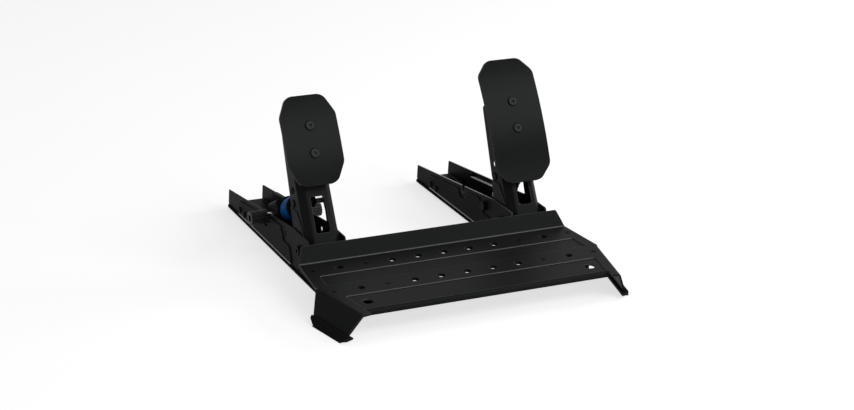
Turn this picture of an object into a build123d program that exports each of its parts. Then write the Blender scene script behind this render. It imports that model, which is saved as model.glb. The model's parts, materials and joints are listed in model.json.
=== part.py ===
from build123d import *
import os
from math import atan2, cos, degrees, radians, sin, sqrt

# Two-pedal set for sim racing: a brake and a throttle on one folded heel plate.
# Millimetres. X runs to the driver's right, Y away from the driver, Z up from the floor.
# The origin is on the floor, at the middle of the set's width and depth.
os.makedirs("parts", exist_ok=True)

# Shared values
cut_over = 5.0            # how far a cutting shape runs past what it cuts
running = 0.05            # radial clearance of a turning pair
seat_gap = 0.1            # clearance of a part dropped into its seat
half_turn = 180.0

# Deck: one folded steel sheet
sheet = 2.5               # sheet thickness
deck_top = 32.0           # top of the deck above the floor
bend_radius = 3.0         # bend radius on the middle of the sheet
hole_step = 30.0         # pitch of the fixing holes across the deck
hole_columns = 11
rows_apart = 58.0        # distance between the two rows of holes
front_reach = 112.6       # front face of the deck, ahead of the rear row of holes
bend_reach = 20.0         # start of the heel stop, behind the rear row
fold_depth = 6.5          # depth of the folded front edge
fold_half = 138.0         # half width of the folded front edge
relief_deep = 3.4         # relief at each end of the fold
stop_height = 17.5        # height of the heel stop above the deck
stop_lean = 30.0          # lean of the heel stop, degrees from upright
stop_half_low = 157.3     # half width of the heel stop at its foot
stop_half_top = 150.2     # half width of the heel stop at its top
stop_corner = 5.0
side_out = 163.7          # half width of the deck at its widest point
side_at = 43.1            # that point, ahead of the rear row
front_half = 148.9        # half width of the deck at its front
hole_radius = 2.75
sink_radius = 4.7
rig_hole_radius = 5.8     # large holes near the front corners
rig_hole_x = 127.0
rig_hole_at = 91.5        # ahead of the rear row
emboss = 0.8              # depth of the two pressed panels
panel_corner = 3.0
rear_panel = (15.0, 41.0, 148.0, 150.5)    # from, to, ahead of the rear row, and half widths there
front_panel = (73.0, 109.4, 144.3, 136.6)

# Legs: the two slanted wings that the deck stands on
leg_splay = 23.4          # lean outwards, degrees
leg_long = 81.8           # length of the bend line
leg_drop = 31.0           # length of the wing down from the bend line
leg_taper = 13.3          # how far each end slopes in over the wing's drop
leg_bend_flat = 10.5      # flat of the deck that belongs to the wing, inside the bend
leg_corner = 4.0
strip_wall = 2.2          # wall of the rubber strip each side of the wing
strip_from = 24.8         # upper edge of the strip, down from the bend line
strip_rear = 10.0         # rear end of the strip, from the rear end of the bend line
strip_front = 6.3         # front end of the strip, from the front end of the bend line
strip_front_cut = (9.0, 7.0)     # bevel of the strip's front lower corner: along, up
strip_rear_cut = (7.5, 5.0)

# Channels: one open steel channel for each pedal
modules_apart = 240.0
channel_half = 21.6       # half width over the walls
channel_wall = 1.5
channel_base = 5.5        # underside of the channel's floor
channel_front = 66.0      # front end, ahead of the rear row
channel_rear = 283.0      # rear end, behind the rear row
channel_rear_rake = 1.5   # the rear edge leans forward by this at its top
wall_front = 34.0         # front edge of the tall walls, behind the rear row
wall_bend = 78.0          # where the top edge starts to fall
wall_high = 18.2          # top of the walls over the deck
wall_low = -8.3           # top of the walls at the rear end, over the deck
wall_corner = 3.0
ear_half = 35.0           # half width over the fixing flanges under the deck
ear_rear = 12.0
screw_offset = 30.0       # fixing screws, each side of the channel's middle
screw_radius = 2.5
screw_socket = 1.7
nut_radius = 4.6
nut_height = 4.0
vent_radius = 1.8
vents = ((58.9, 22.6), (26.7, 22.6))     # behind the rear row, below the deck's top

# Skirts: outer side plates of the channels
skirt = 1.4
skirt_rear = 244.0
skirt_margin = 5.3        # its top edge below the wall's top edge
skirt_outline = ((113.0, -8.4), (103.0, 6.0), (87.0, 6.6), (79.0, 24.8))
skirt_corner = 2.5
skirt_slot_radius = 11.5
skirt_screws = ((239.5, 18.3), (225.0, 19.0))    # behind the rear row, below the deck's top
skirt_screw_radius = 1.5
skirt_head_radius = 3.2
skirt_head = 1.6
skirt_socket = 1.0
skirt_nut = 2.0

# Grip pads: studded rubber under the channels
pad_base = 2.5
pad_over = 1.4            # reach of the pad past the channel's walls, under the skirts
pad_end = 0.4             # the pad ends short of the channel's ends by this
stud = 5.4                # width of a stud at its root
stud_taper = 18.0
stud_step = 9.0
stud_rows = 38
stud_columns = 4
stud_column_step = 11.6

# Cross axle of the brake, and the walls' open slots for it
axle_at = 156.5           # behind the rear row
axle_over = 3.8           # above the deck's top
axle_radius = 4.0
axle_slot = 0.2           # clearance of the axle in the walls' slots
axle_half = 37.5
knob_radius = 7.8
knob_long = 19.3
knob_flutes = 14
knob_flute = 0.9
knob_gap = 0.6
knob_chamfer = 0.8

# Pedal pivot
pivot_at = 57.0
pivot_over = 0.0
pivot_radius = 4.0
pivot_head_radius = 5.6
pivot_head = 3.0
pivot_socket = 2.5
pivot_nut_radius = 6.9
pivot_nut = 5.0
bush_wall = 1.2
bush_flange = 0.8
bush_flange_radius = 6.6
sleeve_wall = 2.4

# Arms: a folded steel channel, open to the rear
arm_lean = 30.0           # lean of the arm, degrees from upright
arm_foot = 30.0           # where its front face meets the deck's level, behind the rear row
arm_sheet = 1.6
arm_half = 18.9           # half width over the side flanges
arm_face = 12.8           # half width of the flat front face
facet_deep = 7.4           # depth of the slanted facets
arm_bend = 2.0
arm_top = 144.0           # along the arm from the deck's level
arm_top_depth = 20.2
arm_rear = ((67.0, 31.2), (45.0, 28.4), (26.0, 31.0))    # rear edge: along the arm, behind its front face
arm_bottom = 4.0          # lower end of the front face
arm_round = 15.0          # lower end, round the pivot
arm_top_round = 4.0
window_low = 26.2
window_high = 65.7
window_half = 8.0
window_round = 2.0
link_at = (64.5, 24.0)    # pin of the rod: along the arm, behind its front face
link_radius = 3.0
link_ring_radius = 4.6
link_ring = 1.2
light_hole_radius = 3.0
light_hole_at = (78.0, 20.0)

# Cheeks: hinge plates welded on the arm's flanges
cheek = 0.9
cheek_radius = 13.0       # round the pivot
cheek_outline = ((45.4, 6.0), (46.0, 14.0), (71.0, 38.5), (89.6, 38.5), (75.0, 3.0), (66.5, -9.0))
cheek_corner = 1.5

# Pads and what carries them
pad_sheet = 3.5
pad_bow = 400.0           # radius of the pads' long curve
pad_front = 17.6          # front of the pad, ahead of the arm's front face
pad_screw_low = 108.9     # along the arm
pad_screws_apart = 30.0
brake_pad_size = (63.3, 97.5, 10.9, 22.0, 0.0)     # width, height, corner cut, its height, shift
throttle_pad_size = (66.3, 138.8, 13.7, 16.2, -4.9)
pad_round = 12.0
spacer_half = 11.0
spacer_over = 6.0         # reach of the spacer past the screws
spacer_wall = 2.5
pad_head_radius = 4.7
pad_head = 2.0
pad_spot = 0.8            # spot faces for the heads, under the pad's foremost line
pad_spot_radius = 5.1
pad_socket = 1.8
socket_share = 0.65       # depth of a socket in its head

# Brake rod, its elastomer and the load cell, along the line from the cross axle to the arm's pin
rod_radius = 4.0
rod_eye_radius = 6.5
rod_eye_half = 5.0
rod_head_half = 11.7      # the rod's head: a block below the pin
rod_head_low = 44.0       # along the arm
rod_head_high = 60.5
rod_head_front = 18.0     # behind the arm's front face
rod_head_deep = 12.0
rod_head_round = 3.5
rod_end = 21.0
rod_bore_gap = 0.4
elastomer_radius = 14.3
elastomer_long = 22.0
elastomer_round = 2.5
stack_from = 19.5         # rear face of the stack, from the cross axle
cup = 3.0
front_cup_radius = 14.0
rear_cup_radius = 16.4
housing_half = 15.5
housing_high = 15.0
housing_back = 8.5
housing_bore_end = 12.0
housing_round = 5.0
cell_long = 30.0
cell_half = 6.35
cell_high = 6.35
cell_hole = 4.5
cell_holes_apart = 7.0

# Throttle spring and its guide, along the line from the lower bolt to the arm's pin
bolt_at = 99.5
bolt_over = 3.8
bolt_radius = 3.0
bolt_fit = 0.1
bolt_head_radius = 5.8
bolt_head = 4.0
bolt_nut = 4.5
wire = 2.6
coil_radius = 12.0        # to the middle of the wire
coil_turns = 3.5
guide_radius = 2.8
guide_gap = 0.7
guide_eye_radius = 5.0
guide_eye_half = 16.4
guide_long = 25.0
guide_sleeve_radius = 5.2
guide_sleeve_long = 21.5
guide_bore_from = 4.2     # bottom of the sleeve's bore, from the lower bolt
seat_radius = 13.8
seat_plate = 2.0
seat_offset = 5.6         # middle of the pin to the near side of the seat plate

# Sensors, covers and the data inlet
magnet_radius = 3.0
magnet = 2.0
magnet_at = (20.0, 33.0)
board = 1.6
board_gap = 1.2
board_from = 65.0
board_to = 86.0
board_high = 33.0
board_foot = 8.0
cover_thick = 5.0
cover_margin = 5.5
cover_round = 2.0
throttle_cover = (128.0, 213.0, 11.0)    # front, rear, behind the rear row, and its lower edge
brake_cover = (202.0, 236.0, 18.0)
brake_cover_over = 1.8    # the brake's cover stands above the wall by this
inlet_half = 6.0
inlet_high = 6.6
inlet_side = 13.6         # middle of the inlet, left of the channel's middle
inlet_long = 14.0
inlet_mouth = (4.2, 1.4)
inlet_mouth_deep = 7.0
inlet_up = 3.3
inlet_round_share = 0.9

# Places worked out from the sizes above
# the foremost edge of the legs, ahead of the rear row of holes
leg_reach = side_at + leg_long * cos(atan2(side_out - front_half, front_reach - side_at))
row_y = (leg_reach - channel_rear) / 2            # the rear row of holes
deck_under = deck_top - sheet
mid_sheet = deck_top - sheet / 2
front_row_y = row_y - rows_apart
deck_front_y = row_y - front_reach
stop_y = row_y + bend_reach
module_x = modules_apart / 2
pivot_y = row_y + pivot_at
pivot_z = deck_top + pivot_over
axle_y = row_y + axle_at
axle_z = deck_top + axle_over
bolt_y = row_y + bolt_at
bolt_z = deck_top + bolt_over
channel_inner = channel_half - channel_wall
floor_top = channel_base + channel_wall
flange_inner = arm_half - arm_sheet
lean_sin = sin(radians(arm_lean))
lean_cos = cos(radians(arm_lean))
fall = (wall_high - wall_low) / (channel_rear - channel_rear_rake - wall_bend)
both_sides = (-1, 1)


def arm_point(along, depth):
    # Y and Z of a place along the arm from the deck's level, and behind its front face.
    y = row_y + arm_foot + along * lean_sin + depth * lean_cos
    return y, deck_top + along * lean_cos - depth * lean_sin


def wall_top(at):
    # Height of the channel's walls at a place behind the rear row.
    return deck_top + wall_high - max(0, at - wall_bend) * fall


def side_plane(x):
    # Sketches on it have Y to the right and Z up.
    return Plane.YZ.offset(x)


def arm_side(x=0):
    # Sketches on it run along the arm, and back from its front face.
    y, z = arm_point(0, 0)
    return Plane(origin=(x, y, z), x_dir=(0, lean_sin, lean_cos), z_dir=(-1, 0, 0))


def arm_front(ahead=0):
    # Sketches on it face the driver, with X to the right and the arm's length up.
    y, z = arm_point(0, -ahead)
    return Plane(origin=(0, y, z), x_dir=(1, 0, 0), z_dir=(0, -lean_cos, lean_sin))


def across(x, y, z):
    # A plane facing the driver's right.
    return Plane(origin=(x, y, z), x_dir=(0, 1, 0), z_dir=(1, 0, 0))


def save(piece, label):
    piece.label = label
    export_step(piece, f"parts/{label}.step")


def rod_along_x(radius, x_from, x_to, y, z):
    # A cylinder or hole across the set, added to the part being built.
    with BuildSketch(across(x_from, y, z)) as end:
        Circle(radius)
    extrude(end.sketch, amount=x_to - x_from)


def bore_along_x(radius, y, z, half=ear_half):
    with BuildSketch(across(-half, y, z)) as end:
        Circle(radius)
    extrude(end.sketch, amount=half * 2, mode=Mode.SUBTRACT)


# Heel plate: the deck with its folded front edge and its leaning heel stop
bend_turn = degrees(atan2(side_out - front_half, front_reach - side_at))
stop_run = stop_height / cos(radians(stop_lean))
turn_sin = sin(radians(bend_turn))
turn_cos = cos(radians(bend_turn))
splay_sin = sin(radians(leg_splay))
splay_cos = cos(radians(leg_splay))
leg_out = Vector(turn_cos, -turn_sin, 0)
leg_forward = Vector(-turn_sin, -turn_cos, 0)
leg_up = Vector(0, 0, splay_cos) - leg_out * splay_sin

# across the right leg's bend: x outwards, y up
leg_section = Plane(origin=(side_out, row_y - side_at, deck_top), x_dir=leg_out, z_dir=leg_forward)
# in the middle of the right leg's sheet: x along the bend line to the front, y up the leg
leg_middle = leg_section.origin - leg_out * (sheet / 2) - Vector(0, 0, sheet / 2)
leg_face = Plane(origin=leg_middle, x_dir=leg_forward, z_dir=leg_forward.cross(leg_up))
leg_floor = -mid_sheet / splay_cos

with BuildPart() as wing:
    with BuildSketch(leg_section):
        with BuildLine():
            FilletPolyline(
                (-leg_bend_flat, -sheet / 2),
                (-sheet / 2, -sheet / 2),
                (leg_drop * splay_sin - sheet / 2, -leg_drop * splay_cos - sheet / 2),
                radius=bend_radius,
            )
        trace(line_width=sheet)
    extrude(amount=leg_long)
    # both ends slope in towards the foot
    with BuildSketch(leg_face):
        with BuildLine():
            Polyline(
                (leg_long + cut_over, 0), (leg_long, 0), (leg_long - leg_taper, -leg_drop),
                (leg_long - leg_taper, -leg_drop - cut_over), (leg_long + cut_over, -leg_drop - cut_over),
                close=True,
            )
        make_face()
        Polygon(
            (-cut_over, 0), (-cut_over, -leg_drop - cut_over), (leg_taper, -leg_drop - cut_over),
            (leg_taper, -leg_drop), (0, 0), align=None,
        )
    extrude(amount=leg_drop / 2, both=True, mode=Mode.SUBTRACT)
    corners = wing.edges().filter_by(Axis((0, 0, 0), leg_face.z_dir)).group_by(Axis.Z)[0]
    fillet(corners, radius=leg_corner)

with BuildPart() as heel_plate:
    with BuildSketch(Plane.YZ):
        with BuildLine():
            FilletPolyline(
                (deck_front_y + sheet / 2, deck_top - fold_depth),
                (deck_front_y + sheet / 2, mid_sheet),
                (stop_y, mid_sheet),
                (stop_y + stop_run * sin(radians(stop_lean)), mid_sheet + stop_height),
                radius=bend_radius,
            )
        trace(line_width=sheet)
    extrude(amount=side_out + cut_over, both=True)
    # the deck's plan: beside the legs it ends within the flat of each wing, with a relief at the fold
    deck_in = leg_bend_flat / 2 / turn_cos
    right_plan = [
        (stop_half_low, stop_y + stop_height),
        (stop_half_low, stop_y),
        (side_out, row_y - side_at),
        (side_out - deck_in, row_y - side_at),
        (front_half - deck_in, deck_front_y + relief_deep),
        (fold_half, deck_front_y + relief_deep),
        (fold_half, deck_front_y - cut_over),
    ]
    left_plan = [(-x, y) for x, y in reversed(right_plan)]
    with BuildSketch():
        Polygon(*right_plan, *left_plan, align=None)
    extrude(amount=deck_top + stop_height + cut_over, mode=Mode.INTERSECT)
    # the raked ends and round corners of the heel stop
    stop_tip = deck_top + stop_height
    deck_past = side_out + cut_over
    stop_clear = Plane.XZ.offset(-stop_y - stop_height)
    with BuildSketch(stop_clear) as stop_ends:
        Polygon(
            (-stop_half_top, stop_tip), (-stop_half_low, deck_top), (-deck_past, deck_top), (-deck_past, 0),
            (deck_past, 0), (deck_past, deck_top), (stop_half_low, deck_top), (stop_half_top, stop_tip),
            align=None,
        )
        fillet(stop_ends.vertices().group_by(Axis.Y)[-1], radius=stop_corner)
    extrude(amount=stop_height + bend_reach + front_reach + cut_over, mode=Mode.INTERSECT)
    add(wing.part)
    mirror(wing.part, about=Plane.YZ)
    # fixing holes in two rows, and the two large rig holes
    with Locations((0, (row_y + front_row_y) / 2, deck_top)):
        with GridLocations(hole_step, rows_apart, hole_columns, 2):
            CounterSinkHole(radius=hole_radius, counter_sink_radius=sink_radius, depth=sheet)
    rig_hole_y = row_y - rig_hole_at
    with Locations((-rig_hole_x, rig_hole_y, deck_top), (rig_hole_x, rig_hole_y, deck_top)):
        Hole(radius=rig_hole_radius, depth=sheet)
    # the two pressed panels
    for rear, front, half_rear, half_front in (rear_panel, front_panel):
        with BuildSketch(Plane.XY.offset(deck_top)) as panel:
            Polygon(
                (-half_rear, row_y - rear), (half_rear, row_y - rear),
                (half_front, row_y - front), (-half_front, row_y - front), align=None,
            )
            fillet(panel.vertices().group_by(Axis.Y)[-1], radius=panel_corner)
        extrude(amount=-emboss, mode=Mode.SUBTRACT)
save(heel_plate.part, "heel_plate")

# Rubber strip moulded over each leg's lower edge
with BuildPart() as right_strip:
    front_low, front_up = strip_front_cut
    rear_low, rear_up = strip_rear_cut
    strip_end = leg_long - strip_front
    strip_foot = leg_floor - strip_wall
    with BuildSketch(leg_face):
        Polygon(
            (strip_rear, -strip_from), (strip_end, -strip_from), (strip_end, leg_floor + front_up),
            (strip_end - front_low, leg_floor), (strip_end - front_low, strip_foot),
            (strip_rear + rear_low, strip_foot), (strip_rear + rear_low, leg_floor),
            (strip_rear, leg_floor + rear_up), align=None,
        )
    extrude(amount=sheet / 2 + strip_wall, both=True)
    # the slot that the leg's sheet fills
    with BuildSketch(leg_face) as slot:
        Polygon((0, 0), (leg_long, 0), (leg_long - leg_taper, -leg_drop), (leg_taper, -leg_drop), align=None)
        fillet(slot.vertices().group_by(Axis.Y)[0], radius=leg_corner)
    extrude(amount=sheet / 2, both=True, mode=Mode.SUBTRACT)
    # flat on the floor
    with BuildSketch():
        Rectangle(channel_rear * 3, channel_rear * 3)
    extrude(amount=-deck_top, mode=Mode.SUBTRACT)
save(right_strip.part, "right_foot_strip")
with BuildPart() as left_strip:
    mirror(right_strip.part, about=Plane.YZ)
save(left_strip.part, "left_foot_strip")

# Channel of one pedal, at the set's middle
with BuildPart() as channel:
    with BuildSketch(side_plane(0)) as wall_side:
        Polygon(
            (row_y + channel_rear, channel_base),
            (row_y + channel_rear - channel_rear_rake, deck_top + wall_low),
            (row_y + wall_bend, deck_top + wall_high), (row_y + wall_front, deck_top + wall_high),
            (row_y + wall_front, deck_under), (row_y - channel_front, deck_under),
            (row_y - channel_front, channel_base), align=None,
        )
        fillet(wall_side.vertices().group_by(Axis.Y)[-1], radius=wall_corner)
        fillet(wall_side.vertices().sort_by(Axis.X)[-1], radius=wall_corner)
    extrude(amount=channel_half, both=True)
    long_edges = channel.edges().filter_by(Axis.Y).group_by(Axis.Z)[0]
    fillet(long_edges, radius=channel_wall)
    with BuildSketch(Plane.XY.offset(floor_top)):
        Rectangle(channel_inner * 2, channel_rear * 3)
    extrude(amount=deck_top + wall_high, mode=Mode.SUBTRACT)
    # fixing flanges under the deck
    ear_middle = row_y + (ear_rear - channel_front) / 2
    ear_long = ear_rear + channel_front
    ear_wide = ear_half - channel_inner
    with BuildSketch(Plane.XY.offset(deck_under)) as ears:
        for side in both_sides:
            with Locations((side * (channel_inner + ear_wide / 2), ear_middle)):
                Rectangle(ear_wide, ear_long)
    extrude(amount=-channel_wall)
    with Locations((0, (row_y + front_row_y) / 2, deck_under)):
        with GridLocations(screw_offset * 2, rows_apart, 2, 2):
            Hole(radius=hole_radius, depth=channel_wall)
    # pivot, lower bolt, open slots for a cross axle, vents and skirt screws
    bore_along_x(pivot_radius + bush_wall, pivot_y, pivot_z)
    bore_along_x(bolt_radius + bolt_fit, bolt_y, bolt_z)
    bore_along_x(axle_radius + axle_slot, axle_y, axle_z)
    with BuildSketch(Plane.XY.offset(axle_z)):
        with Locations((0, axle_y)):
            Rectangle(ear_half * 2, (axle_radius + axle_slot) * 2)
    extrude(amount=wall_high, mode=Mode.SUBTRACT)
    for at, below in vents:
        bore_along_x(vent_radius, row_y + at, deck_top - below)
    for at, below in skirt_screws:
        bore_along_x(skirt_screw_radius, row_y + at, deck_top - below)

# Skirt on a channel's right wall
with BuildPart() as right_skirt:
    with BuildSketch(side_plane(channel_half)) as skirt_side:
        front_points = [(row_y + at, deck_top - below) for at, below in skirt_outline]
        Polygon(
            (row_y + skirt_rear, front_points[-1][1]),
            (row_y + skirt_rear, wall_top(skirt_rear) - skirt_margin),
            *front_points, align=None,
        )
        fillet(skirt_side.vertices(), radius=skirt_corner)
        with Locations((axle_y, axle_z)):
            Circle(skirt_slot_radius, mode=Mode.SUBTRACT)
            Rectangle(skirt_slot_radius * 2, wall_high * 2, align=(Align.CENTER, Align.MIN),
                      mode=Mode.SUBTRACT)
    extrude(amount=skirt)
    for at, below in skirt_screws:
        bore_along_x(skirt_screw_radius, row_y + at, deck_top - below)
with BuildPart() as left_skirt:
    mirror(right_skirt.part, about=Plane.YZ)

# Studded rubber grip pad under a channel
with BuildPart() as grip_pad:
    pad_half = channel_half + pad_over
    pad_middle = row_y + (channel_rear - channel_front) / 2
    pad_long = channel_rear + channel_front - pad_end * 2
    with BuildSketch(Plane.XY.offset(channel_base)):
        with Locations((0, pad_middle)):
            RectangleRounded(pad_half * 2, pad_long, wall_corner)
    extrude(amount=-pad_base)
    with BuildSketch(Plane.XY.offset(channel_base - pad_base)):
        with Locations((0, pad_middle)):
            with GridLocations(stud_column_step, stud_step, stud_columns, stud_rows):
                Rectangle(stud, stud)
    extrude(amount=-(channel_base - pad_base), taper=stud_taper)


def bolt_head_with_socket(plane, radius, height, socket, deep):
    # A round head on a plane, with a hexagon socket in its outer face.
    with BuildSketch(plane) as head:
        Circle(radius)
    extrude(head.sketch, amount=height)
    with BuildSketch(plane.offset(height)) as hexagon:
        RegularPolygon(socket, 6)
    extrude(hexagon.sketch, amount=-deep, mode=Mode.SUBTRACT)


# Screw and nut of the skirts, on the right wall
with BuildPart() as skirt_screw:
    head_plane = across(channel_half + skirt, 0, 0)
    bolt_head_with_socket(head_plane, skirt_head_radius, skirt_head, skirt_socket, skirt_head / 2)
    rod_along_x(skirt_screw_radius, channel_inner - skirt_nut, channel_half + skirt, 0, 0)
with BuildPart() as skirt_nut_part:
    with BuildSketch(across(channel_inner, 0, 0)):
        RegularPolygon(skirt_head_radius, 6)
        Circle(skirt_screw_radius, mode=Mode.SUBTRACT)
    extrude(amount=-skirt_nut)

screws = []
nuts = []
for module in both_sides:
    for side in both_sides:
        turned = Rot(0, 0, 0) if side > 0 else Rot(0, 0, half_turn)
        for at, below in skirt_screws:
            place = Pos(module * module_x, row_y + at, deck_top - below) * turned
            screws.append(place * skirt_screw.part)
            nuts.append(place * skirt_nut_part.part)
save(Compound(children=screws), "skirt_screws")
save(Compound(children=nuts), "skirt_nuts")

# Countersunk screws that fix the channels under the deck, and their nuts
with BuildPart() as plate_screw:
    with BuildSketch(Plane.XZ):
        with BuildLine():
            Polyline(
                (0, deck_top), (sink_radius - seat_gap, deck_top - seat_gap),
                (screw_radius, deck_top - sink_radius + screw_radius - seat_gap),
                (screw_radius, deck_under - channel_wall - nut_height),
                (0, deck_under - channel_wall - nut_height), close=True,
            )
        make_face()
    revolve(axis=Axis.Z)
    with BuildSketch(Plane.XY.offset(deck_top)):
        RegularPolygon(screw_socket, 6)
    extrude(amount=-sheet / 2, mode=Mode.SUBTRACT)
with BuildPart() as plate_nut:
    with BuildSketch(Plane.XY.offset(deck_under - channel_wall)):
        RegularPolygon(nut_radius, 6)
        Circle(screw_radius, mode=Mode.SUBTRACT)
    extrude(amount=-nut_height)
spots = []
for module in both_sides:
    for side in both_sides:
        for y in (row_y, front_row_y):
            spots.append(Pos(module * module_x + side * screw_offset, y, 0))
save(Compound(children=[spot * plate_screw.part for spot in spots]), "plate_screws")
save(Compound(children=[spot * plate_nut.part for spot in spots]), "plate_nuts")

# Pivot bolt, nut and bushes
bush_out = channel_half + bush_flange
with BuildPart() as pivot_bolt:
    head_plane = Plane(origin=(-bush_out, pivot_y, pivot_z), x_dir=(0, 1, 0), z_dir=(-1, 0, 0))
    bolt_head_with_socket(head_plane, pivot_head_radius, pivot_head, pivot_socket, pivot_head / 2)
    rod_along_x(pivot_radius, -bush_out, bush_out + pivot_nut, pivot_y, pivot_z)
with BuildPart() as pivot_nut_part:
    with BuildSketch(across(bush_out, pivot_y, pivot_z)):
        RegularPolygon(pivot_nut_radius, 6)
        Circle(pivot_radius, mode=Mode.SUBTRACT)
    extrude(amount=pivot_nut)
with BuildPart() as pivot_bushes:
    for side in both_sides:
        facing = Plane(origin=(side * channel_inner, pivot_y, pivot_z), x_dir=(0, 1, 0), z_dir=(side, 0, 0))
        with BuildSketch(facing):
            Circle(pivot_radius + bush_wall)
        extrude(amount=channel_wall + bush_flange)
        with BuildSketch(facing.offset(channel_wall)):
            Circle(bush_flange_radius)
        extrude(amount=bush_flange)
    bore_along_x(pivot_radius, pivot_y, pivot_z)

# Pedal arm: folded channel with slanted facets, a window and a round foot
with BuildPart() as arm:
    foot_y, foot_z = arm_point(-arm_round, 0)
    section = Plane(origin=(0, foot_y, foot_z), x_dir=(1, 0, 0), z_dir=(0, lean_sin, lean_cos))
    half = arm_half - arm_sheet / 2
    face_half = arm_face - arm_sheet / 2
    deepest = pivot_at
    with BuildSketch(section):
        with BuildLine():
            FilletPolyline(
                (-half, deepest), (-half, facet_deep), (-face_half, arm_sheet / 2),
                (face_half, arm_sheet / 2), (half, facet_deep), (half, deepest),
                radius=arm_bend,
            )
        trace(line_width=arm_sheet)
    extrude(amount=arm_top + arm_round * 2)
    with BuildSketch(arm_side()) as arm_outline:
        pivot_along = (pivot_at - arm_foot) * lean_sin
        pivot_depth = (pivot_at - arm_foot) * lean_cos
        Polygon(
            (arm_bottom, 0), (arm_top, 0), (arm_top, arm_top_depth), *arm_rear,
            (pivot_along, pivot_depth), align=None,
        )
        fillet(arm_outline.vertices().group_by(Axis.X)[-1], radius=arm_top_round)
        with Locations((pivot_along, pivot_depth)):
            Circle(arm_round)
    extrude(amount=arm_half * 2, both=True, mode=Mode.INTERSECT)
    with BuildSketch(arm_front()) as window:
        with Locations((0, (window_low + window_high) / 2)):
            RectangleRounded(window_half * 2, window_high - window_low, window_round)
        for step in range(2):
            with Locations((0, pad_screw_low + step * pad_screws_apart)):
                Circle(screw_radius)
    extrude(amount=-facet_deep, mode=Mode.SUBTRACT)
    link_y, link_z = arm_point(*link_at)
    bore_along_x(link_radius, link_y, link_z)
    bore_along_x(light_hole_radius, *arm_point(*light_hole_at))
    bore_along_x(pivot_radius + sleeve_wall, pivot_y, pivot_z)

with BuildPart() as cheeks:
    with BuildSketch(side_plane(arm_half)) as cheek_side:
        Polygon(*[(row_y + at, deck_top + over) for at, over in cheek_outline], align=None)
        fillet(cheek_side.vertices(), radius=cheek_corner)
        with Locations((pivot_y, pivot_z)):
            Circle(cheek_radius)
    extrude(amount=cheek)
    bore_along_x(pivot_radius + sleeve_wall, pivot_y, pivot_z)
    mirror(about=Plane.YZ)

with BuildPart() as pivot_sleeve:
    sleeve_half = arm_half + cheek
    rod_along_x(pivot_radius + sleeve_wall, -sleeve_half, sleeve_half, pivot_y, pivot_z)
    bore_along_x(pivot_radius + running, pivot_y, pivot_z)

with BuildPart() as link_pin:
    pin_half = arm_half + link_ring / 2
    rod_along_x(link_radius, -pin_half, pin_half, link_y, link_z)
# the rings cap the pin's ends
with BuildPart() as link_rings:
    for start in (-arm_half - link_ring, arm_half):
        rod_along_x(link_ring_radius, start, start + link_ring, link_y, link_z)
    bore_along_x(link_radius, link_y, link_z, pin_half)


def pedal_pad(width, height, cut, cut_high, shift):
    # A bowed plate with cut and rounded corners.
    middle = pad_screw_low + pad_screws_apart / 2 + shift
    with BuildPart() as pad:
        with BuildSketch(arm_side(-width)):
            with Locations((middle, pad_bow - pad_front)):
                Circle(pad_bow)
                Circle(pad_bow - pad_sheet, mode=Mode.SUBTRACT)
        extrude(amount=-width * 2)
        with BuildSketch(arm_front(pad_front + pad_sheet)) as pad_outline:
            with Locations((0, middle)):
                side_x, top = width / 2, height / 2
                Polygon(
                    (side_x, cut_high - top), (side_x, top - cut_high), (side_x - cut, top),
                    (cut - side_x, top), (-side_x, top - cut_high), (-side_x, cut_high - top),
                    (cut - side_x, -top), (side_x - cut, -top), align=None,
                )
            fillet(pad_outline.vertices(), radius=pad_round)
            for step in range(2):
                with Locations((0, pad_screw_low + step * pad_screws_apart)):
                    Circle(screw_radius, mode=Mode.SUBTRACT)
        extrude(amount=-pad_front * 2 - pad_sheet, mode=Mode.INTERSECT)
        with BuildSketch(arm_front(pad_front - pad_spot)):
            for step in range(2):
                with Locations((0, pad_screw_low + step * pad_screws_apart)):
                    Circle(pad_spot_radius)
        extrude(amount=pad_head, mode=Mode.SUBTRACT)
    return pad.part


# Spacer between the arm and the pad: a short channel open to both ends
pad_back = pad_front - pad_sheet


def pad_spacer(shift):
    # Its front follows the back of the bowed pad.
    middle = pad_screw_low + pad_screws_apart / 2
    spacer_long = pad_screws_apart + spacer_over * 2
    with BuildPart() as spacer:
        with BuildSketch(arm_front()):
            with Locations((0, middle)):
                Rectangle(spacer_half * 2, spacer_long)
        extrude(amount=pad_back)
        with BuildSketch(arm_front(spacer_wall)):
            with Locations((0, middle)):
                Rectangle((spacer_half - spacer_wall) * 2, spacer_long * 2)
        extrude(amount=pad_back - spacer_wall * 2, mode=Mode.SUBTRACT)
        with BuildSketch(arm_side(-spacer_half)):
            with Locations((middle + shift, pad_bow - pad_front)):
                Circle(pad_bow + pad_bow)
                Circle(pad_bow - pad_sheet, mode=Mode.SUBTRACT)
        extrude(amount=-spacer_half * 2, mode=Mode.SUBTRACT)
        with BuildSketch(arm_front(pad_front)):
            for step in range(2):
                with Locations((0, pad_screw_low + step * pad_screws_apart)):
                    Circle(screw_radius)
        extrude(amount=-pad_front * 2, mode=Mode.SUBTRACT)
    return spacer.part


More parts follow.
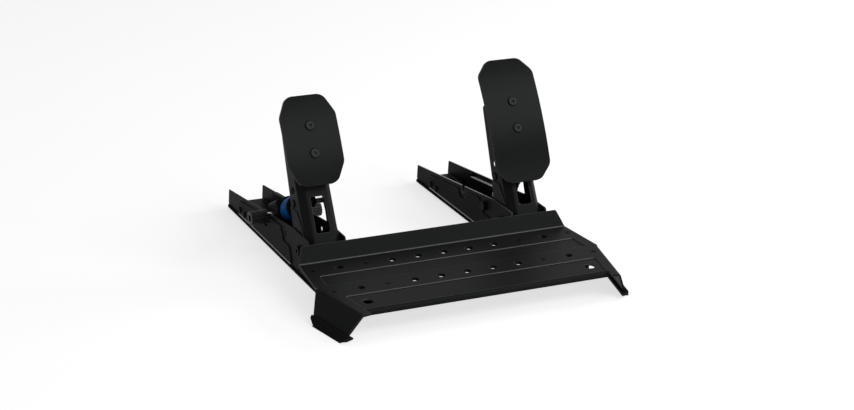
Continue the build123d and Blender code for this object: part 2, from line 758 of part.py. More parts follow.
# Pad screws and nuts
with BuildPart() as pad_screws:
    head_foot = pad_front - pad_spot
    for step in range(2):
        with BuildSketch(arm_front(head_foot)):
            with Locations((0, pad_screw_low + step * pad_screws_apart)):
                Circle(pad_head_radius)
        extrude(amount=pad_head)
        with BuildSketch(arm_front(head_foot)):
            with Locations((0, pad_screw_low + step * pad_screws_apart)):
                Circle(screw_radius)
        extrude(amount=-(head_foot + arm_sheet + nut_height))
        with BuildSketch(arm_front(head_foot + pad_head)):
            with Locations((0, pad_screw_low + step * pad_screws_apart)):
                RegularPolygon(pad_socket, 6)
        extrude(amount=-pad_head * socket_share, mode=Mode.SUBTRACT)
with BuildPart() as pad_nuts:
    with BuildSketch(arm_front(-arm_sheet)):
        for step in range(2):
            with Locations((0, pad_screw_low + step * pad_screws_apart)):
                RegularPolygon(nut_radius, 6)
                Circle(screw_radius, mode=Mode.SUBTRACT)
    extrude(amount=-nut_height)

# The pieces that both pedals share, set out at each channel's place
shared = {
    "channel": channel.part,
    "left_skirt": left_skirt.part,
    "right_skirt": right_skirt.part,
    "grip_pad": grip_pad.part,
    "pivot_bolt": pivot_bolt.part,
    "pivot_nut": pivot_nut_part.part,
    "pivot_bushes": pivot_bushes.part,
    "arm": arm.part,
    "arm_cheeks": cheeks.part,
    "pivot_sleeve": pivot_sleeve.part,
    "link_pin": link_pin.part,
    "link_rings": link_rings.part,
    "pad_screws": pad_screws.part,
    "pad_nuts": pad_nuts.part,
}
pads = {"brake": pedal_pad(*brake_pad_size), "throttle": pedal_pad(*throttle_pad_size)}
spacers = {"brake": pad_spacer(brake_pad_size[-1]), "throttle": pad_spacer(throttle_pad_size[-1])}
places = {"brake": Pos(-module_x, 0, 0), "throttle": Pos(module_x, 0, 0)}
for pedal, place in places.items():
    for piece, shape in shared.items():
        save(place * shape, f"{pedal}_{piece}")
    save(place * pads[pedal], f"{pedal}_pad")
    save(place * spacers[pedal], f"{pedal}_pad_spacer")


def rod_plane(x, low_y, low_z):
    # Origin on the lower pivot, z towards the arm's pin, x across the set.
    return Plane(origin=(x, low_y, low_z), x_dir=(1, 0, 0), z_dir=(0, link_y - low_y, link_z - low_z))


def rod_line(low_y, low_z):
    return sqrt((link_y - low_y) ** 2 + (link_z - low_z) ** 2)


# Brake rod with its eye
brake_line = rod_plane(-module_x, axle_y, axle_z)
brake_reach = rod_line(axle_y, axle_z)
stack_rear = stack_from + cup
stack_front = stack_rear + elastomer_long


def disc(plane, start, length, radius, bore=0):
    # A round piece along a line, with or without a bore.
    with BuildSketch(plane.offset(start)) as ring:
        Circle(radius)
        if bore > 0:
            Circle(bore, mode=Mode.SUBTRACT)
    extrude(ring.sketch, amount=length)


eye_back = rod_eye_radius / 2
with BuildPart() as push_rod:
    disc(brake_line, rod_end, brake_reach - rod_end - eye_back, rod_radius)
    with BuildSketch(across(-module_x - rod_eye_half, link_y, link_z)):
        Circle(rod_eye_radius)
    extrude(amount=rod_eye_half * 2)
    # the head below the pin, and its neck up to the eye
    with BuildSketch(arm_side(-module_x)):
        with Locations(((rod_head_high + link_at[0]) / 2, rod_head_front + rod_head_deep / 2)):
            Rectangle(link_at[0] - rod_head_high + rod_head_round, rod_head_deep)
    extrude(amount=rod_eye_half, both=True)
    with BuildSketch(arm_front(-rod_head_front)):
        with Locations((-module_x, (rod_head_low + rod_head_high) / 2)):
            RectangleRounded(rod_head_half * 2, rod_head_high - rod_head_low, rod_head_round)
    extrude(amount=-rod_head_deep)
    with BuildSketch(across(-module_x - rod_eye_half, link_y, link_z)):
        Circle(link_radius + running)
    extrude(amount=rod_eye_half * 2, mode=Mode.SUBTRACT)
save(push_rod.part, "push_rod")

# Cups and the blue elastomer between them
with BuildPart() as front_cup:
    disc(brake_line, stack_front, cup, front_cup_radius, rod_radius)
save(front_cup.part, "front_cup")
with BuildPart() as elastomer:
    disc(brake_line, stack_rear, elastomer_long, elastomer_radius, rod_radius + rod_bore_gap)
    ends = elastomer.edges().filter_by(GeomType.CIRCLE).group_by(SortBy.RADIUS)[-1]
    fillet(ends, radius=elastomer_round)
save(elastomer.part, "elastomer")
with BuildPart() as rear_cup:
    disc(brake_line, stack_from, cup, rear_cup_radius, rod_radius + rod_bore_gap)
save(rear_cup.part, "rear_cup")

# Load cell housing on the cross axle, with the load cell behind it
with BuildPart() as housing:
    with BuildSketch(brake_line.offset(-housing_back)) as housing_face:
        RectangleRounded(housing_half * 2, housing_high * 2, housing_round)
    extrude(amount=housing_back + stack_from)
    with BuildSketch(across(-module_x - channel_half, axle_y, axle_z)):
        Circle(axle_radius + running)
    extrude(amount=channel_half * 2, mode=Mode.SUBTRACT)
    with BuildSketch(brake_line.offset(housing_bore_end)):
        Circle(rod_radius + rod_bore_gap)
    extrude(amount=stack_from, mode=Mode.SUBTRACT)
save(housing.part, "load_cell_housing")
with BuildPart() as load_cell:
    with BuildSketch(brake_line.offset(-housing_back)):
        Rectangle(cell_half * 2, cell_high * 2)
    extrude(amount=-cell_long)
    with BuildSketch(Plane(
        origin=brake_line.offset(-housing_back - cell_long / 2).origin,
        x_dir=brake_line.z_dir, z_dir=(1, 0, 0),
    )):
        with Locations((-cell_holes_apart / 2, 0), (cell_holes_apart / 2, 0)):
            Circle(cell_hole)
    extrude(amount=cell_half * 2, both=True, mode=Mode.SUBTRACT)
save(load_cell.part, "load_cell")

# Cross axle and its ribbed knobs
with BuildPart() as cross_axle:
    rod_along_x(axle_radius, -module_x - axle_half, -module_x + axle_half, axle_y, axle_z)
save(cross_axle.part, "cross_axle")
with BuildPart() as knob:
    with BuildSketch(across(channel_half + knob_gap, axle_y, axle_z)):
        Circle(knob_radius)
        with PolarLocations(knob_radius, knob_flutes):
            Circle(knob_flute, mode=Mode.SUBTRACT)
        Circle(axle_radius + running, mode=Mode.SUBTRACT)
    extrude(amount=knob_long)
right_knob = Pos(-module_x, 0, 0) * knob.part
save(right_knob, "right_knob")
with BuildPart() as knob_turned:
    mirror(knob.part, about=Plane.YZ)
save(Pos(-module_x, 0, 0) * knob_turned.part, "left_knob")

# Throttle: lower bolt and nut
with BuildPart() as spring_bolt:
    with BuildSketch(Plane(origin=(-channel_half, bolt_y, bolt_z), x_dir=(0, 1, 0), z_dir=(-1, 0, 0))):
        RegularPolygon(bolt_head_radius, 6)
    extrude(amount=bolt_head)
    rod_along_x(bolt_radius, -channel_half, channel_half + bolt_nut, bolt_y, bolt_z)
save(places["throttle"] * spring_bolt.part, "spring_bolt")
with BuildPart() as spring_nut:
    with BuildSketch(across(channel_half, bolt_y, bolt_z)):
        RegularPolygon(bolt_head_radius, 6)
        Circle(bolt_radius, mode=Mode.SUBTRACT)
    extrude(amount=bolt_nut)
save(places["throttle"] * spring_nut.part, "spring_nut")

# Throttle spring between its two seats
spring_line = rod_plane(module_x, bolt_y, bolt_z)
spring_reach = rod_line(bolt_y, bolt_z)
upper_face = spring_reach - seat_offset - seat_plate
lower_face = seat_offset + seat_plate
with BuildPart() as upper_seat:
    with BuildSketch(across(module_x - guide_eye_half, link_y, link_z)):
        Circle(guide_eye_radius)
    extrude(amount=guide_eye_half * 2)
    disc(spring_line, upper_face, seat_plate + seat_offset, guide_eye_radius)
    disc(spring_line, upper_face, seat_plate, seat_radius)
    disc(spring_line, spring_reach - guide_long, guide_long - seat_offset, guide_radius)
    with BuildSketch(across(module_x - guide_eye_half, link_y, link_z)):
        Circle(link_radius + running)
    extrude(amount=guide_eye_half * 2, mode=Mode.SUBTRACT)
save(upper_seat.part, "upper_spring_seat")
with BuildPart() as lower_seat:
    with BuildSketch(across(module_x - guide_eye_half, bolt_y, bolt_z)):
        Circle(guide_eye_radius)
    extrude(amount=guide_eye_half * 2)
    disc(spring_line, 0, lower_face, guide_eye_radius)
    disc(spring_line, seat_offset, seat_plate, seat_radius)
    disc(spring_line, seat_offset, guide_sleeve_long - seat_offset, guide_sleeve_radius)
    with BuildSketch(across(module_x - guide_eye_half, bolt_y, bolt_z)):
        Circle(bolt_radius + running)
    extrude(amount=guide_eye_half * 2, mode=Mode.SUBTRACT)
    disc_bore = spring_line.offset(guide_bore_from)
    with BuildSketch(disc_bore):
        Circle(guide_radius + guide_gap)
    extrude(amount=guide_sleeve_long, mode=Mode.SUBTRACT)
save(lower_seat.part, "lower_spring_seat")

with BuildPart() as spring:
    coil_high = upper_face - lower_face - wire
    with BuildLine() as coil:
        Helix(pitch=coil_high / coil_turns, height=coil_high, radius=coil_radius)
    with BuildSketch(coil.line ^ 0):
        Circle(wire / 2)
    sweep(path=coil.line, is_frenet=True)
save(spring_line.offset(lower_face + wire / 2) * spring.part, "throttle_spring")

# Throttle sensor: a magnet on the arm, and the board beside its path
magnet_y, magnet_z = arm_point(*magnet_at)
with BuildPart() as magnet_part:
    rod_along_x(magnet_radius, flange_inner - magnet, flange_inner, magnet_y, magnet_z)
save(places["throttle"] * magnet_part.part, "magnet")
with BuildPart() as sensor_board:
    board_x = flange_inner - magnet - board_gap - board
    with BuildSketch(side_plane(board_x)):
        Polygon(
            (row_y + board_from, floor_top), (row_y + board_to, floor_top),
            (row_y + board_to, floor_top + board_high), (row_y + board_from, floor_top + board_high),
            align=None,
        )
    extrude(amount=board)
save(places["throttle"] * sensor_board.part, "sensor_board")


def inner_cover(span, over):
    # A moulded cover on the inner face of the right wall, with a sloping top.
    front, rear, foot = span
    with BuildPart() as cover:
        with BuildSketch(side_plane(channel_inner)) as cover_side:
            Polygon(
                (row_y + front, foot), (row_y + rear, foot),
                (row_y + rear, wall_top(rear) + over), (row_y + front, wall_top(front) + over),
                align=None,
            )
            fillet(cover_side.vertices(), radius=cover_round)
        extrude(amount=-cover_thick)
    return cover.part


save(places["throttle"] * inner_cover(throttle_cover, -cover_margin), "throttle_cover")
save(places["brake"] * inner_cover(brake_cover, brake_cover_over), "brake_cover")

# Data inlet at the brake channel's rear end
with BuildPart() as inlet:
    inlet_rear = row_y + channel_rear - channel_rear_rake
    with BuildSketch(Plane.XZ.offset(-inlet_rear)):
        with Locations((-inlet_side, floor_top + inlet_high / 2)):
            Rectangle(inlet_half * 2, inlet_high)
    extrude(amount=inlet_long)
    with BuildSketch(Plane.XZ.offset(-inlet_rear)):
        with Locations((-inlet_side, floor_top + inlet_up)):
            RectangleRounded(inlet_mouth[0] * 2, inlet_mouth[1] * 2, inlet_mouth[1] * inlet_round_share)
    extrude(amount=inlet_mouth_deep, mode=Mode.SUBTRACT)
save(places["brake"] * inlet.part, "data_inlet")
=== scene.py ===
import bpy
import bmesh
import json
import math
from mathutils import Matrix, Vector


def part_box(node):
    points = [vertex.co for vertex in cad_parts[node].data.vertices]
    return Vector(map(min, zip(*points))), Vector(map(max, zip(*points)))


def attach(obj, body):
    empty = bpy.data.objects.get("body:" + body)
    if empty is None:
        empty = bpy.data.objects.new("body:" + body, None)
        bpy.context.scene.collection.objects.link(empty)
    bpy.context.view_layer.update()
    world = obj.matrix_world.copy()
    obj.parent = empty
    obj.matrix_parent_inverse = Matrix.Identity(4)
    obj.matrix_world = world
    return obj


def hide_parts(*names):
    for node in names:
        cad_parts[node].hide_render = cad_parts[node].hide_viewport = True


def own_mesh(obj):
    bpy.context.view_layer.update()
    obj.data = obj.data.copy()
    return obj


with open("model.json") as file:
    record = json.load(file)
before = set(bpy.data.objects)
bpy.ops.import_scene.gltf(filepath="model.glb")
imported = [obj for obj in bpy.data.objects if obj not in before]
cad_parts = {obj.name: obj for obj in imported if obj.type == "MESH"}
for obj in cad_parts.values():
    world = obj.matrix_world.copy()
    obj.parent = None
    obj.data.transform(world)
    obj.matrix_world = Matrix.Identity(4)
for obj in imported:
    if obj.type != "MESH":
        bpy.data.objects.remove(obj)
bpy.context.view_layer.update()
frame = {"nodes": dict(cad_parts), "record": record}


# Places, in metres, as in the part's source

DECK_TOP = 0.032
MODULE_X = 0.120              # middle of each pedal's module, left and right
ROW_Y = -0.0799465            # the deck's rear row of holes
FRONT_ROW_Y = ROW_Y - 0.058

ARM_LEAN = math.radians(30)   # lean of both arms from upright
ALONG_ARM = Vector((0, math.sin(ARM_LEAN), math.cos(ARM_LEAN)))
INTO_ARM = Vector((0, math.cos(ARM_LEAN), -math.sin(ARM_LEAN)))
ARM_START = Vector((0, ROW_Y + 0.030, DECK_TOP))      # where an arm's front face meets the deck's level
LINK = (0.0645, 0.0240)       # pin of the rod: along the arm, and behind its front face
LIGHT_HOLE = (0.078, 0.020)
PAD_SCREWS_MIDDLE = 0.1239    # along the arm
PAD_SCREWS_APART = 0.030


def arm_point(along, depth):
    return ARM_START + ALONG_ARM * along + INTO_ARM * depth


PIN = arm_point(*LINK)
AXLE = Vector((-MODULE_X, ROW_Y + 0.1565, DECK_TOP + 0.0038))
FOOT = Vector((MODULE_X, ROW_Y + 0.0995, DECK_TOP + 0.0038))

# Camera, at the photograph's viewing angle
CAMERA_PLACE = (-0.8760, -1.88195, 0.8418)
CAMERA_RIGHT = (0.9073, -0.4198, 0.0258)
CAMERA_AHEAD = (0.4011, 0.8451, -0.3536)
LENS = 85.456
SENSOR = 36.0
NEAR, FAR = 0.05, 60.0

camera_data = bpy.data.cameras.new("camera")
camera_data.sensor_width = SENSOR
camera_data.lens = LENS
camera_data.clip_start = NEAR
camera_data.clip_end = FAR
camera = bpy.data.objects.new("camera", camera_data)
bpy.context.collection.objects.link(camera)
right = Vector(CAMERA_RIGHT).normalized()
ahead = Vector(CAMERA_AHEAD).normalized()
up = right.cross(ahead).normalized()
turn = Matrix((right, up, -ahead)).transposed()
camera.matrix_world = Matrix.Translation(CAMERA_PLACE) @ turn.to_4x4()
bpy.context.scene.camera = camera
bpy.context.scene.view_settings.view_transform = "Standard"


# Small helpers for materials

def new_material(name):
    material = bpy.data.materials.new(name)
    material.use_nodes = True
    tree = material.node_tree
    shader = tree.nodes["Principled BSDF"]
    return material, tree, shader


def add(tree, kind, **inputs):
    node = tree.nodes.new(kind)
    for name, value in inputs.items():
        node.inputs[name.replace("_", " ")].default_value = value
    return node


def feed(tree, socket, value):
    """Gives a socket a link or a constant."""
    if isinstance(value, bpy.types.NodeSocket):
        tree.links.new(value, socket)
    else:
        socket.default_value = value


def maths(tree, operation, *values):
    node = tree.nodes.new("ShaderNodeMath")
    node.operation = operation
    for socket, value in zip(node.inputs, values):
        feed(tree, socket, value)
    return node.outputs[0]


def product(tree, *values):
    """The product of masks: one where all of them are one."""
    total = values[0]
    for value in values[1:]:
        total = maths(tree, "MULTIPLY", total, value)
    return total


def vector_maths(tree, operation, output, *values):
    node = tree.nodes.new("ShaderNodeVectorMath")
    node.operation = operation
    for socket, value in zip(node.inputs, values):
        feed(tree, socket, value)
    return node.outputs[output]


def ramp(tree, source, low, high, from_low=0.3, from_high=0.7):
    node = add(tree, "ShaderNodeMapRange", From_Min=from_low, From_Max=from_high, To_Min=low, To_Max=high)
    tree.links.new(source, node.inputs["Value"])
    return node.outputs["Result"]


def mixed(tree, factor, first, second):
    node = tree.nodes.new("ShaderNodeMix")
    node.data_type = "RGBA"
    feed(tree, node.inputs["A"], first)
    feed(tree, node.inputs["B"], second)
    tree.links.new(factor, node.inputs["Factor"])
    return node.outputs["Result"]


def grey(level):
    return level, level, level, 1


def within(tree, value, low, high, soft):
    """One where a value lies between low and high, and zero outside, with soft limits."""
    rise = ramp(tree, value, 0.0, 1.0, low - soft, low + soft)
    drop = ramp(tree, value, 1.0, 0.0, high - soft, high + soft)
    return product(tree, rise, drop)


def object_place(tree):
    """A point's place in the frame at rest, since each node's object sits at the origin."""
    return tree.nodes.new("ShaderNodeTexCoord").outputs["Object"]


def split(tree, vector):
    node = tree.nodes.new("ShaderNodeSeparateXYZ")
    tree.links.new(vector, node.inputs[0])
    return node.outputs


def true_normal(tree):
    return tree.nodes.new("ShaderNodeNewGeometry").outputs["Normal"]


def rounded(tree, radius):
    """Normals that round off a body's sharp edges, as folding and coating do."""
    node = add(tree, "ShaderNodeBevel", Radius=radius)
    node.samples = 6
    return node.outputs["Normal"]


# Masks: the places of a part where a highlight or a shade is painted into its coat

BEYOND = 0.5                         # a limit in metres that nothing reaches
# Limits of a normal's upward or forward share, and their softness
LEVEL = (0.90, 1.5, 0.02)            # upward, on a level face
SLOPING = (0.72, 0.95, 0.03)         # upward, on a bend
LEANING = (-0.80, -0.20, 0.05)       # forward, on a bend
STEP_FACE = (-1.2, -0.80, 0.02)      # forward, on the step of a panel
CONE = (0.60, 0.80, 0.02)            # upward, in a countersink


def painted_fold_highlights(tree):
    """Where a highlight is painted paler along the deck's bends and the steps of its pressed panels."""
    facing = split(tree, true_normal(tree))
    place = split(tree, object_place(tree))
    behind_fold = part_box("heel_plate")[0].y + 0.020
    panels_from, panels_to = ROW_Y - 0.106, ROW_Y + 0.020
    step_foot, step_head = DECK_TOP - 0.0011, DECK_TOP + 0.0010
    bend = product(tree, within(tree, facing["Z"], *SLOPING), within(tree, facing["Y"], *LEANING),
                   within(tree, place["Y"], behind_fold, BEYOND, 0.002))
    step = product(tree, within(tree, facing["Y"], *STEP_FACE),
                   within(tree, place["Z"], step_foot, step_head, 0.0001),
                   within(tree, place["Y"], panels_from, panels_to, 0.001))
    return maths(tree, "MAXIMUM", bend, step)


def sunk_holes(tree):
    """The cones of the deck's countersunk holes, which lie in shade."""
    reach = 0.0065        # from a row of holes, each way
    cone = within(tree, split(tree, true_normal(tree))["Z"], *CONE)
    place = split(tree, object_place(tree))
    rear, front = (within(tree, place["Y"], at - reach, at + reach, 0.0003) for at in (ROW_Y, FRONT_ROW_Y))
    return product(tree, cone, maths(tree, "MAXIMUM", rear, front))


def painted_lower_rim_highlight(tree):
    """Where a highlight is painted along a skirt's lower rim."""
    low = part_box("brake_left_skirt")[0].z
    return within(tree, split(tree, object_place(tree))["Z"], low - 0.001, low + 0.0014, 0.0002)


def wall_rim(tree):
    """The upper rims of the throttle channel's walls, behind the arm, which catch the light."""
    fall = 0.1293                        # of the rims, from front to rear
    rims_from, rims_to = 0.0486, 0.0530  # their height, carried along that fall to where Y is 0
    behind_arm = ROW_Y + 0.090
    place = split(tree, object_place(tree))
    height = maths(tree, "MULTIPLY_ADD", place["Y"], fall, place["Z"])
    return product(tree, within(tree, split(tree, true_normal(tree))["Z"], *LEVEL),
                   within(tree, height, rims_from, rims_to, 0.0003),
                   within(tree, place["Y"], behind_arm, BEYOND, 0.002))


def cover_top(tree):
    """The sloping top of a cover, which catches the light."""
    return within(tree, split(tree, true_normal(tree))["Z"], *LEVEL)


def about_pad_screws(low, high):
    """A mask of the rings between two radii about the pads' screws, where shade is painted: in the spot faces
    round the heads, and in the sockets.
    """
    def mask(tree):
        place = object_place(tree)
        middle = ARM_START.dot(ALONG_ARM) + PAD_SCREWS_MIDDLE
        along = vector_maths(tree, "DOT_PRODUCT", "Value", place, ALONG_ARM)
        offset = add(tree, "ShaderNodeCombineXYZ")
        for i, (value, centre, gap) in enumerate(((split(tree, place)["X"], 0.0, MODULE_X),
                                                  (along, middle, PAD_SCREWS_APART / 2))):
            from_middle = maths(tree, "ABSOLUTE", maths(tree, "SUBTRACT", value, centre))
            tree.links.new(maths(tree, "SUBTRACT", from_middle, gap), offset.inputs[i])
        radius = vector_maths(tree, "LENGTH", "Value", offset.outputs[0])
        return within(tree, radius, low, high, 0.00015)
    return mask


# Materials

# The painted edge highlight fades out between these two agreements; SHADE is the grey of painted shade.
EDGE_HIGHLIGHT_FROM, EDGE_HIGHLIGHT_TO = 0.80, 0.985     # agreement of the rounded and the true normal, on an edge and on a face
SHADE = grey(0.0012)


def coated(name, dark, light, rough, specular, painted_highlight, grain=2600.0, bump=0.35, edge=0.0007, lines=None, edge_highlight_share=1.0,
           shade=None):
    """A powder coat or plastic: fine grain in its bump and roughness, slow changes of shade, and soft edges
    painted paler as a highlight.

    The highlight's grey is painted along the lines that a lines mask gives, and on the edges up to a share of it;
    shade is a mask of places painted in shade, in the grey SHADE.
    places that lie dark."""
    material, tree, shader = new_material(name)
    place = object_place(tree)
    slow = add(tree, "ShaderNodeTexNoise", Scale=14.0, Detail=3.0)
    fine = add(tree, "ShaderNodeTexNoise", Scale=grain, Detail=2.0)
    for node in (slow, fine):
        tree.links.new(place, node.inputs["Vector"])
    soft = rounded(tree, edge)
    agreement = vector_maths(tree, "DOT_PRODUCT", "Value", soft, true_normal(tree))
    # Painted highlight: rounded edges and the mask lines are painted paler, in place of the light they would
    # catch.
    highlight_mask = ramp(tree, agreement, edge_highlight_share, 0.0, EDGE_HIGHLIGHT_FROM, EDGE_HIGHLIGHT_TO)
    if lines:
        highlight_mask = maths(tree, "MAXIMUM", highlight_mask, lines(tree))
    colour = mixed(tree, highlight_mask, mixed(tree, slow.outputs["Fac"], dark, light), grey(painted_highlight))
    if shade:
        colour = mixed(tree, shade(tree), colour, SHADE)
    tree.links.new(colour, shader.inputs["Base Color"])
    tree.links.new(ramp(tree, fine.outputs["Fac"], rough - 0.05, rough + 0.05), shader.inputs["Roughness"])
    height = add(tree, "ShaderNodeBump", Strength=bump, Distance=0.0002)
    tree.links.new(fine.outputs["Fac"], height.inputs["Height"])
    tree.links.new(soft, height.inputs["Normal"])
    tree.links.new(height.outputs["Normal"], shader.inputs["Normal"])
    shader.inputs["Specular IOR Level"].default_value = specular
    shader.inputs["Specular Tint"].default_value = (0.92, 1.0, 0.96, 1)
    return material


def metal(name, dark, light, rough_low, rough_high, stretch, bump=0.15, edge=0.0003):
    """Turned or drawn metal: fine lines along one direction."""
    material, tree, shader = new_material(name)
    mapping = add(tree, "ShaderNodeMapping", Scale=stretch)
    tree.links.new(object_place(tree), mapping.inputs["Vector"])
    lines = add(tree, "ShaderNodeTexNoise", Scale=1.0, Detail=3.0)
    tree.links.new(mapping.outputs["Vector"], lines.inputs["Vector"])
    tree.links.new(mixed(tree, lines.outputs["Fac"], dark, light), shader.inputs["Base Color"])
    tree.links.new(ramp(tree, lines.outputs["Fac"], rough_low, rough_high), shader.inputs["Roughness"])
    height = add(tree, "ShaderNodeBump", Strength=bump, Distance=0.0001)
    tree.links.new(lines.outputs["Fac"], height.inputs["Height"])
    tree.links.new(rounded(tree, edge), height.inputs["Normal"])
    tree.links.new(height.outputs["Normal"], shader.inputs["Normal"])
    shader.inputs["Metallic"].default_value = 1.0
    return material


DARK_COAT = (0.0046, 0.0050, 0.0048, 1)
PALE_COAT = (0.0060, 0.0064, 0.0062, 1)

plate_coat = coated("plate_coat", (0.0052, 0.0057, 0.0055, 1), (0.0068, 0.0073, 0.0070, 1), rough=0.43,
                    specular=0.024, painted_highlight=0.09, lines=painted_fold_highlights, shade=sunk_holes)
skirt_coat = coated("skirt_coat", DARK_COAT, PALE_COAT, rough=0.46, specular=0.013, painted_highlight=0.40, lines=painted_lower_rim_highlight,
                    edge_highlight_share=0.35)
wall_coat = coated("wall_coat", DARK_COAT, PALE_COAT, rough=0.45, specular=0.020, painted_highlight=0.30, lines=wall_rim)
arm_coat = coated("arm_coat", (0.0052, 0.0056, 0.0054, 1), (0.0066, 0.0070, 0.0068, 1), rough=0.42,
                  specular=0.026, painted_highlight=0.09, bump=0.30)
cover_coat = coated("cover_coat", grey(0.004), grey(0.006), rough=0.50, specular=0.015, painted_highlight=0.30, grain=2200.0,
                    bump=0.45, edge=0.0004, lines=cover_top, edge_highlight_share=0.1)
spring_coat = coated("spring_coat", grey(0.030), grey(0.045), rough=0.26, specular=0.40, painted_highlight=0.06, grain=900.0,
                     bump=0.10, edge=0.0002)
black_steel = coated("black_steel", grey(0.003), grey(0.005), rough=0.42, specular=0.02, painted_highlight=0.04, grain=1800.0,
                     bump=0.15, edge=0.0003)
plastic = coated("black_plastic", grey(0.004), grey(0.006), rough=0.50, specular=0.015, painted_highlight=0.03, grain=2200.0,
                 bump=0.45, edge=0.0004)
blue = coated("blue_elastomer", (0.001, 0.050, 0.17, 1), (0.002, 0.070, 0.24, 1), rough=0.48, specular=0.02,
              painted_highlight=0.02, grain=700.0, bump=0.12, edge=0.0004)

by_slot = {
    "powder_coat": coated("powder_coat", DARK_COAT, PALE_COAT, rough=0.45, specular=0.020, painted_highlight=0.09),
    "rubber": coated("rubber", grey(0.005), grey(0.008), rough=0.70, specular=0.015, painted_highlight=0.012, grain=1500.0,
                     bump=0.60, edge=0.0004),
    "knob_plastic": coated("knob_plastic", grey(0.010), grey(0.016), rough=0.34, specular=0.070, painted_highlight=0.12,
                           grain=2200.0, bump=0.30, edge=0.0004),
    "board_green": coated("board_green", (0.004, 0.03, 0.012, 1), (0.006, 0.045, 0.018, 1), rough=0.35,
                          specular=0.3, painted_highlight=0.02, grain=900.0, bump=0.2, edge=0.0002),
    "bright_steel": metal("bright_steel", (0.42, 0.42, 0.43, 1), (0.60, 0.60, 0.61, 1), 0.24, 0.40,
                          (60.0, 900.0, 900.0)),
    "black_steel": black_steel, "black_plastic": plastic, "bronze": plastic, "blue_elastomer": blue,
}
by_node = {"heel_plate": plate_coat, "throttle_channel": wall_coat, "throttle_cover": cover_coat}
for module in ("brake", "throttle"):
    by_node[f"{module}_arm"] = by_node[f"{module}_arm_cheeks"] = arm_coat
    by_node[f"{module}_left_skirt"] = by_node[f"{module}_right_skirt"] = skirt_coat
    # The pads get painted shade in the spot faces round their screws' heads, and the screws get painted shade in
    # their sockets.
    by_node[f"{module}_pad"] = coated(
        f"{module}_pad_coat", (0.0050, 0.0053, 0.0052, 1), (0.0060, 0.0064, 0.0062, 1), rough=0.22,
        specular=0.027, painted_highlight=0.05, grain=3200.0, bump=0.20, shade=about_pad_screws(0.0046, 0.0061))
    by_node[f"{module}_pad_screws"] = coated(
        f"{module}_pad_screw_steel", grey(0.007), grey(0.010), rough=0.32, specular=0.055, painted_highlight=0.04,
        grain=1800.0, bump=0.10, edge=0.0003, shade=about_pad_screws(-0.001, 0.0017))

for part in frame["record"]["subparts"]:
    materials = frame["nodes"][part["node"]].data.materials
    materials.clear()
    materials.append(by_node.get(part["node"]) or by_slot[part["material_slot"]])


# Forms of the scene's own pieces

MM = 0.001
PINHOLE = 0.02            # a turned piece's bore where it looks solid, in millimetres
X, Y, Z = Vector((1, 0, 0)), Vector((0, 1, 0)), Vector((0, 0, 1))


def rod_line(start):
    """The start of a rod's line to the arm's pin, and its direction, its side and its back."""
    along = (PIN + X * start.x - start).normalized()
    return start, along, X, along.cross(X)


def mesh_object(name, verts, faces, material, smooth=True):
    mesh = bpy.data.meshes.new(name)
    mesh.from_pydata([tuple(v) for v in verts], [], faces)
    mesh.update()
    work = bmesh.new()
    work.from_mesh(mesh)
    bmesh.ops.recalc_face_normals(work, faces=work.faces)
    work.to_mesh(mesh)
    work.free()
    for face in mesh.polygons:
        face.use_smooth = smooth
    mesh.materials.append(material)
    piece = bpy.data.objects.new(name, mesh)
    bpy.context.collection.objects.link(piece)
    return piece


def lathe(name, line, profile, steps, material):
    """A closed ring turned about a line: profile holds (along, radius) in millimetres."""
    start, along, side, back = line
    verts, faces = [], []
    rows = len(profile)
    for i in range(steps):
        turn = 2 * math.pi * i / steps
        out = side * math.cos(turn) + back * math.sin(turn)
        verts += [start + along * (a * MM) + out * (r * MM) for a, r in profile]
    for i in range(steps):
        here, there = i * rows, (i + 1) % steps * rows
        for j in range(rows):
            k = (j + 1) % rows
            faces.append((here + j, here + k, there + k, there + j))
    return mesh_object(name, verts, faces, material)


def coil(name, line, low, high, radius, wire, closed, active, material):
    """A compression spring: closed, ground end turns and open turns between them."""
    start, along, side, back = line
    turns = 2 * closed + active
    end_share = 0.65          # of the wire, from the ground face to the wire's middle
    rise_closed = wire * 0.98
    rise_open = (high - low - 2 * end_share * wire - 2 * closed * rise_closed) / active
    easing = 0.4              # turns over which the rise changes
    steps, sides = int(turns * 64), 18
    verts, faces = [], []
    at = low + end_share * wire
    for i in range(steps + 1):
        turn = turns * i / steps
        if i:
            near = min(turn, turns - turn)
            blend = min(1.0, max(0.0, (near - closed + easing / 2) / easing))
            at += (rise_closed + (rise_open - rise_closed) * blend) * turns / steps
        angle = 2 * math.pi * turn
        out = side * math.cos(angle) + back * math.sin(angle)
        for j in range(sides):
            about = 2 * math.pi * j / sides
            a = min(high, max(low, at + wire / 2 * math.sin(about)))
            r = radius + wire / 2 * math.cos(about)
            verts.append(start + along * (a * MM) + out * (r * MM))
    for i in range(steps):
        for j in range(sides):
            k = (j + 1) % sides
            faces.append((i * sides + j, i * sides + k, (i + 1) * sides + k, (i + 1) * sides + j))
    faces.append(tuple(range(sides)))
    faces.append(tuple(steps * sides + j for j in range(sides)))
    return mesh_object(name, verts, faces, material)


def barrel(low, high, inner, outer, crown, bevel, chamfer=0.6):
    """Profile of a moulded ring: a slightly crowned outside, rounded rims and a chamfered bore."""
    rim_steps, side_steps = 6, 12
    rim = []
    for i in range(rim_steps + 1):
        turn = math.pi / 2 * i / rim_steps
        rim.append((bevel * (1 - math.sin(turn)), outer - crown - bevel * (1 - math.cos(turn))))
    points = [(low + a, r) for a, r in reversed(rim)]
    for i in range(1, side_steps):
        share = i / side_steps
        points.append((low + bevel + (high - low - 2 * bevel) * share, outer - crown * (2 * share - 1) ** 2))
    points += [(high - a, r) for a, r in rim]
    points += [(high, inner + chamfer), (high - chamfer, inner), (low + chamfer, inner), (low, inner + chamfer)]
    return points


# Pieces that take up load, in millimetres along their rods' lines

brake_line = rod_line(AXLE)
spring_line = rod_line(FOOT)

